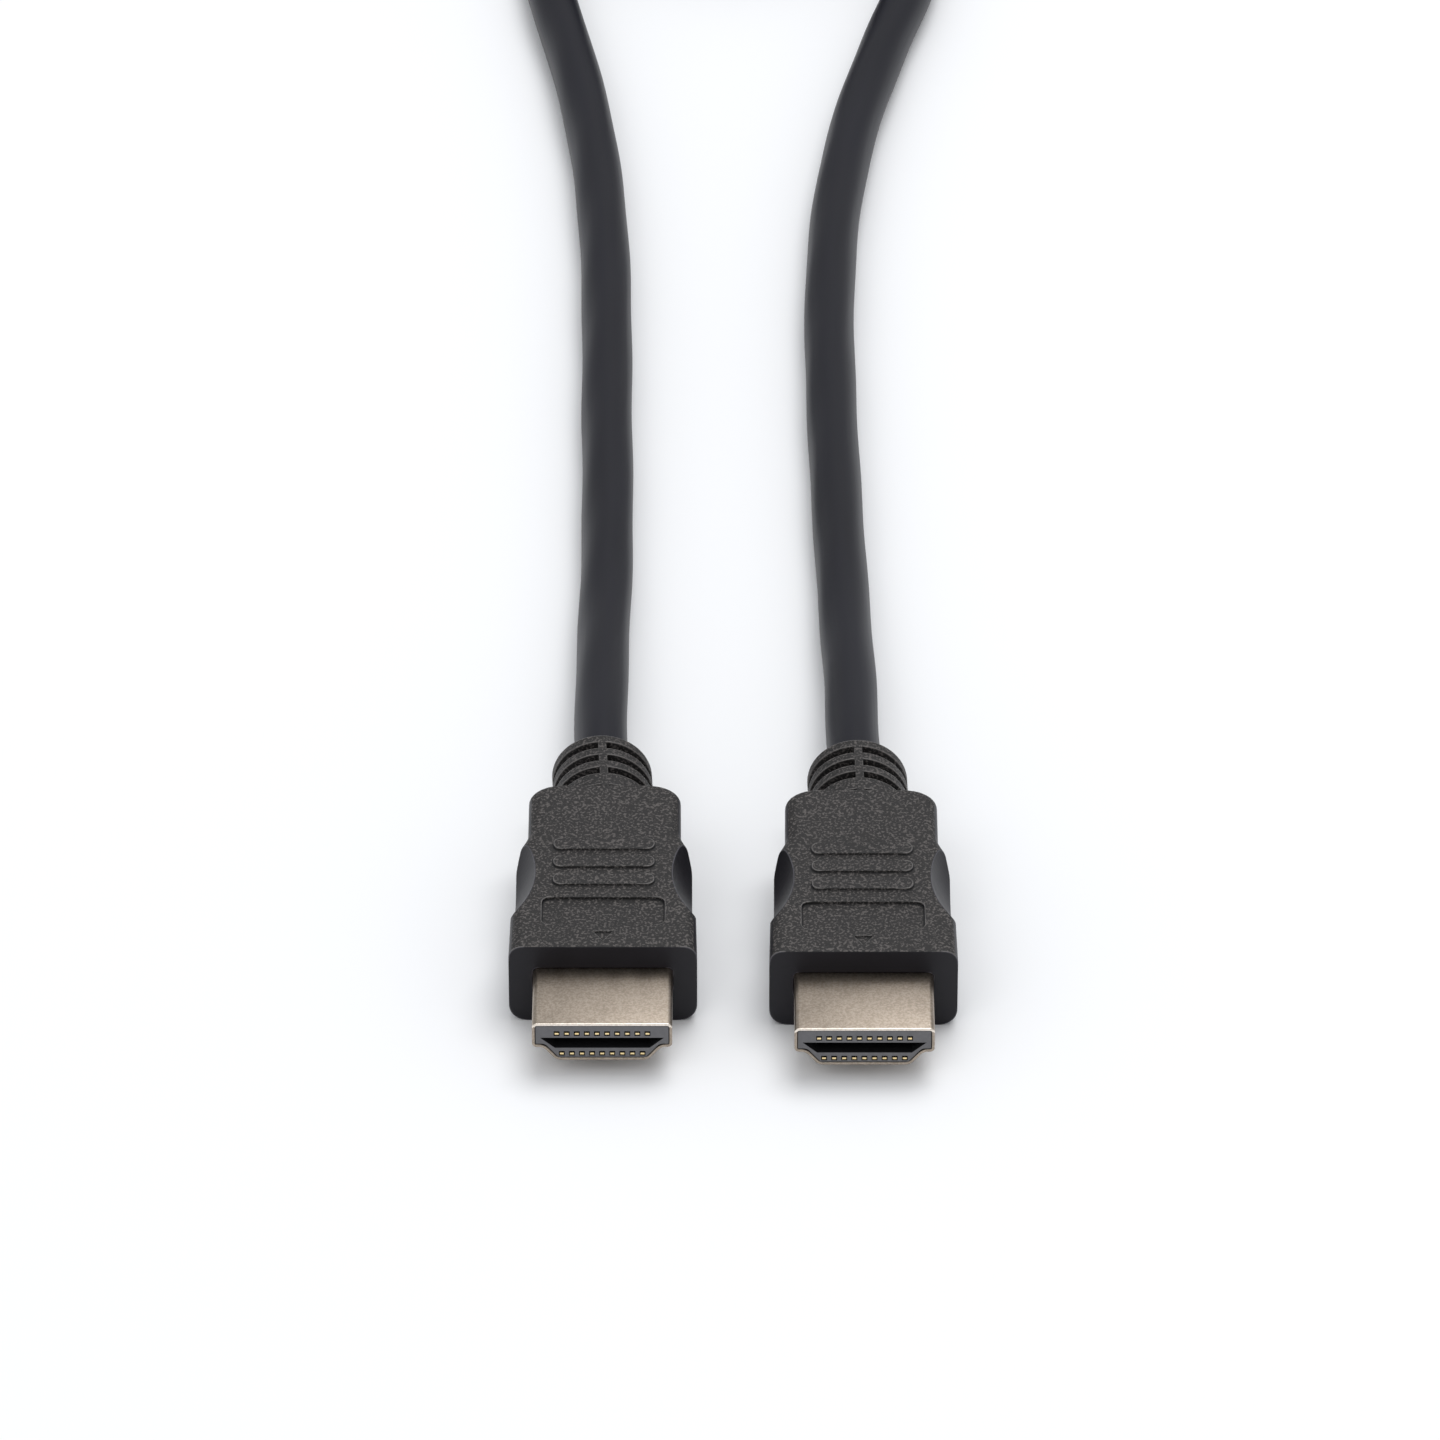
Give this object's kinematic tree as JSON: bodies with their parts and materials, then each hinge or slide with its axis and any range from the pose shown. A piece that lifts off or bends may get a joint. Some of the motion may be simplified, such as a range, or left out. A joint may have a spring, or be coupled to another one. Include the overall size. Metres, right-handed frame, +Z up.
{
  "type": "hdmi cable",
  "caption": "Round black display cable with a moulded type A plug at each end, its spare length folded into a flat tied hank.",
  "frame": {"origin": "on the surface that the plugs lie on, under the middle of the two plugs' bounding box", "axes": "+Y from the plug tips back along the cable, +Z up, +X to the right seen from the plug tips"},
  "size_m": [0.0516, 0.3474, 0.0136],
  "materials": {
    "grip_pvc": "matte, fine spark grain",
    "shell_nickel": "satin nickel plate",
    "insulator_plastic": "matte",
    "contact_gold": "bright gold plate",
    "cable_pvc": "satin",
    "tie_plastic": "satin"
  },
  "bodies": {
    "root": {"overmold_left": "grip_pvc", "overmold_right": "grip_pvc", "shell_left": "shell_nickel", "shell_right": "shell_nickel", "insulator_left": "insulator_plastic", "insulator_right": "insulator_plastic", "contact_left_01": "contact_gold", "contact_left_02": "contact_gold", "contact_left_03": "contact_gold", "contact_left_04": "contact_gold", "contact_left_05": "contact_gold", "contact_left_06": "contact_gold", "contact_left_07": "contact_gold", "contact_left_08": "contact_gold", "contact_left_09": "contact_gold", "contact_left_10": "contact_gold", "contact_left_11": "contact_gold", "contact_left_12": "contact_gold", "contact_left_13": "contact_gold", "contact_left_14": "contact_gold", "contact_left_15": "contact_gold", "contact_left_16": "contact_gold", "contact_left_17": "contact_gold", "contact_left_18": "contact_gold", "contact_left_19": "contact_gold", "contact_right_01": "contact_gold", "contact_right_02": "contact_gold", "contact_right_03": "contact_gold", "contact_right_04": "contact_gold", "contact_right_05": "contact_gold", "contact_right_06": "contact_gold", "contact_right_07": "contact_gold", "contact_right_08": "contact_gold", "contact_right_09": "contact_gold", "contact_right_10": "contact_gold", "contact_right_11": "contact_gold", "contact_right_12": "contact_gold", "contact_right_13": "contact_gold", "contact_right_14": "contact_gold", "contact_right_15": "contact_gold", "contact_right_16": "contact_gold", "contact_right_17": "contact_gold", "contact_right_18": "contact_gold", "contact_right_19": "contact_gold", "cable_run_left": "cable_pvc", "cable_run_right": "cable_pvc", "cable_hank": "cable_pvc", "hank_tie": "tie_plastic"}
  },
  "joints": []
}
